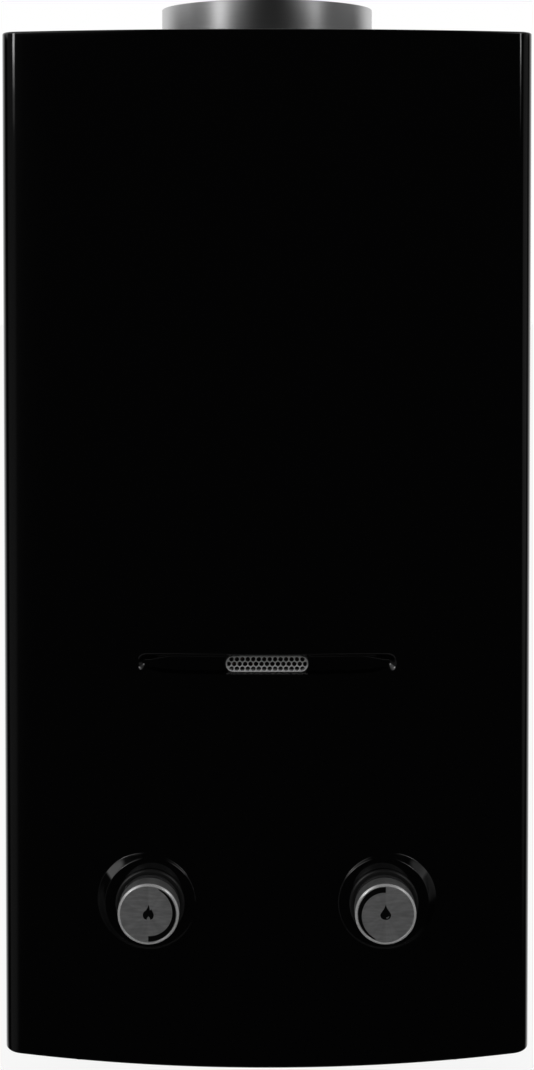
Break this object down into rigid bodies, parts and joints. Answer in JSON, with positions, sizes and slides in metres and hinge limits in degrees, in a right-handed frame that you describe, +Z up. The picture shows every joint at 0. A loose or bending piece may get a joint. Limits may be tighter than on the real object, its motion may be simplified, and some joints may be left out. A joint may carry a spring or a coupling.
{
  "type": "tankless gas water heater",
  "caption": "Wall-hung tankless gas water heater with a bowed black front, round flue collar, flame window and two control knobs over a finned burner chamber.",
  "frame": {"origin": "on the wall face of the back plate, at the middle of the four wall slots", "axes": "+Z up along the casing, -Y out of the wall towards the user, +X to the user's right"},
  "size_m": [0.31, 0.1836, 0.6455],
  "materials": {
    "black_enamel": "gloss enamel",
    "galvanised": "zinc-coated sheet",
    "stainless": "satin",
    "zinc": "zinc plated",
    "copper": "drawn copper, copper coloured",
    "brass": "machined",
    "aluminium_cast": "die cast",
    "black_plastic": "fine texture",
    "black_gloss": "gloss",
    "rubber": "matt",
    "ceramic": "glazed",
    "lead_silicone": "silicone sheath",
    "cell_jacket": "printed jacket left plain",
    "mesh_steel": "perforated sheet",
    "glass": "clear",
    "knob_silver": "brushed"
  },
  "bodies": {
    "casing": {"front_cover": "black_enamel", "back_plate": "galvanised", "top_plate": "galvanised", "bottom_plate": "galvanised", "flue_collar": "stainless", "draft_hood": "galvanised", "chamber_shell": "copper", "chamber_brackets": "galvanised", "fin_stack": "copper", "fin_tubes": "copper", "coil_pipe": "copper", "cold_pipe": "copper", "hot_pipe": "copper", "overheat_cutoff": "black_plastic", "burner_frame": "galvanised", "burner_blades": "stainless", "gas_manifold": "aluminium_cast", "gas_injectors": "brass", "gas_riser": "copper", "electrode_insulators": "ceramic", "electrode_pins": "stainless", "gas_valve_body": "aluminium_cast", "gas_solenoid": "black_plastic", "water_valve_body": "brass", "diaphragm": "rubber", "diaphragm_cover": "brass", "linkage_frame": "aluminium_cast", "microswitch": "black_plastic", "valve_bracket": "galvanised", "cold_inlet": "brass", "gas_inlet": "brass", "hot_outlet": "brass", "drain_plug": "black_plastic", "ignition_module": "black_plastic", "ignition_leads": "lead_silicone", "battery_box": "black_plastic", "battery_cells": "cell_jacket", "battery_contacts": "stainless", "door_pin": "zinc", "window_mesh": "mesh_steel", "window_pane": "glass", "window_clamp": "galvanised", "knob_bezels": "black_gloss"},
    "gas_knob": {"gas_knob_core": "black_plastic", "gas_knob_cap": "knob_silver", "gas_stem": "zinc"},
    "water_knob": {"water_knob_core": "black_plastic", "water_knob_cap": "knob_silver", "water_stem": "zinc"},
    "battery_door": {"battery_door": "black_plastic"},
    "valve_rod": {"linkage_rod": "stainless"},
    "switch_lever": {"microswitch_lever": "stainless"}
  },
  "joints": [
    {"name": "gas_knob_turn", "type": "hinge", "parent": "casing", "child": "gas_knob", "pos_m": [-0.0675, -0.1672, -0.2035], "axis": [0, -1, 0], "range_deg": [0, 158]},
    {"name": "water_knob_turn", "type": "hinge", "parent": "casing", "child": "water_knob", "pos_m": [0.0675, -0.1672, -0.2035], "axis": [0, -1, 0], "range_deg": [-158, 0]},
    {"name": "battery_door_hinge", "type": "hinge", "parent": "casing", "child": "battery_door", "pos_m": [0, -0.10938, -0.299], "axis": [1, 0, 0], "range_deg": [0, 95]},
    {"name": "valve_rod_slide", "type": "slide", "parent": "casing", "child": "valve_rod", "axis": [-1, 0, 0], "range_m": [0, 0.004], "stiffness_N_per_m": 1500},
    {"name": "switch_lever_hinge", "type": "hinge", "parent": "casing", "child": "switch_lever", "pos_m": [-0.0034, -0.08448, -0.1921], "axis": [0, 1, 0], "range_deg": [0, 33]}
  ],
  "couplings": [
    {"joint": "switch_lever_hinge", "follows": "valve_rod_slide", "rad_per_m": 139.63}
  ]
}
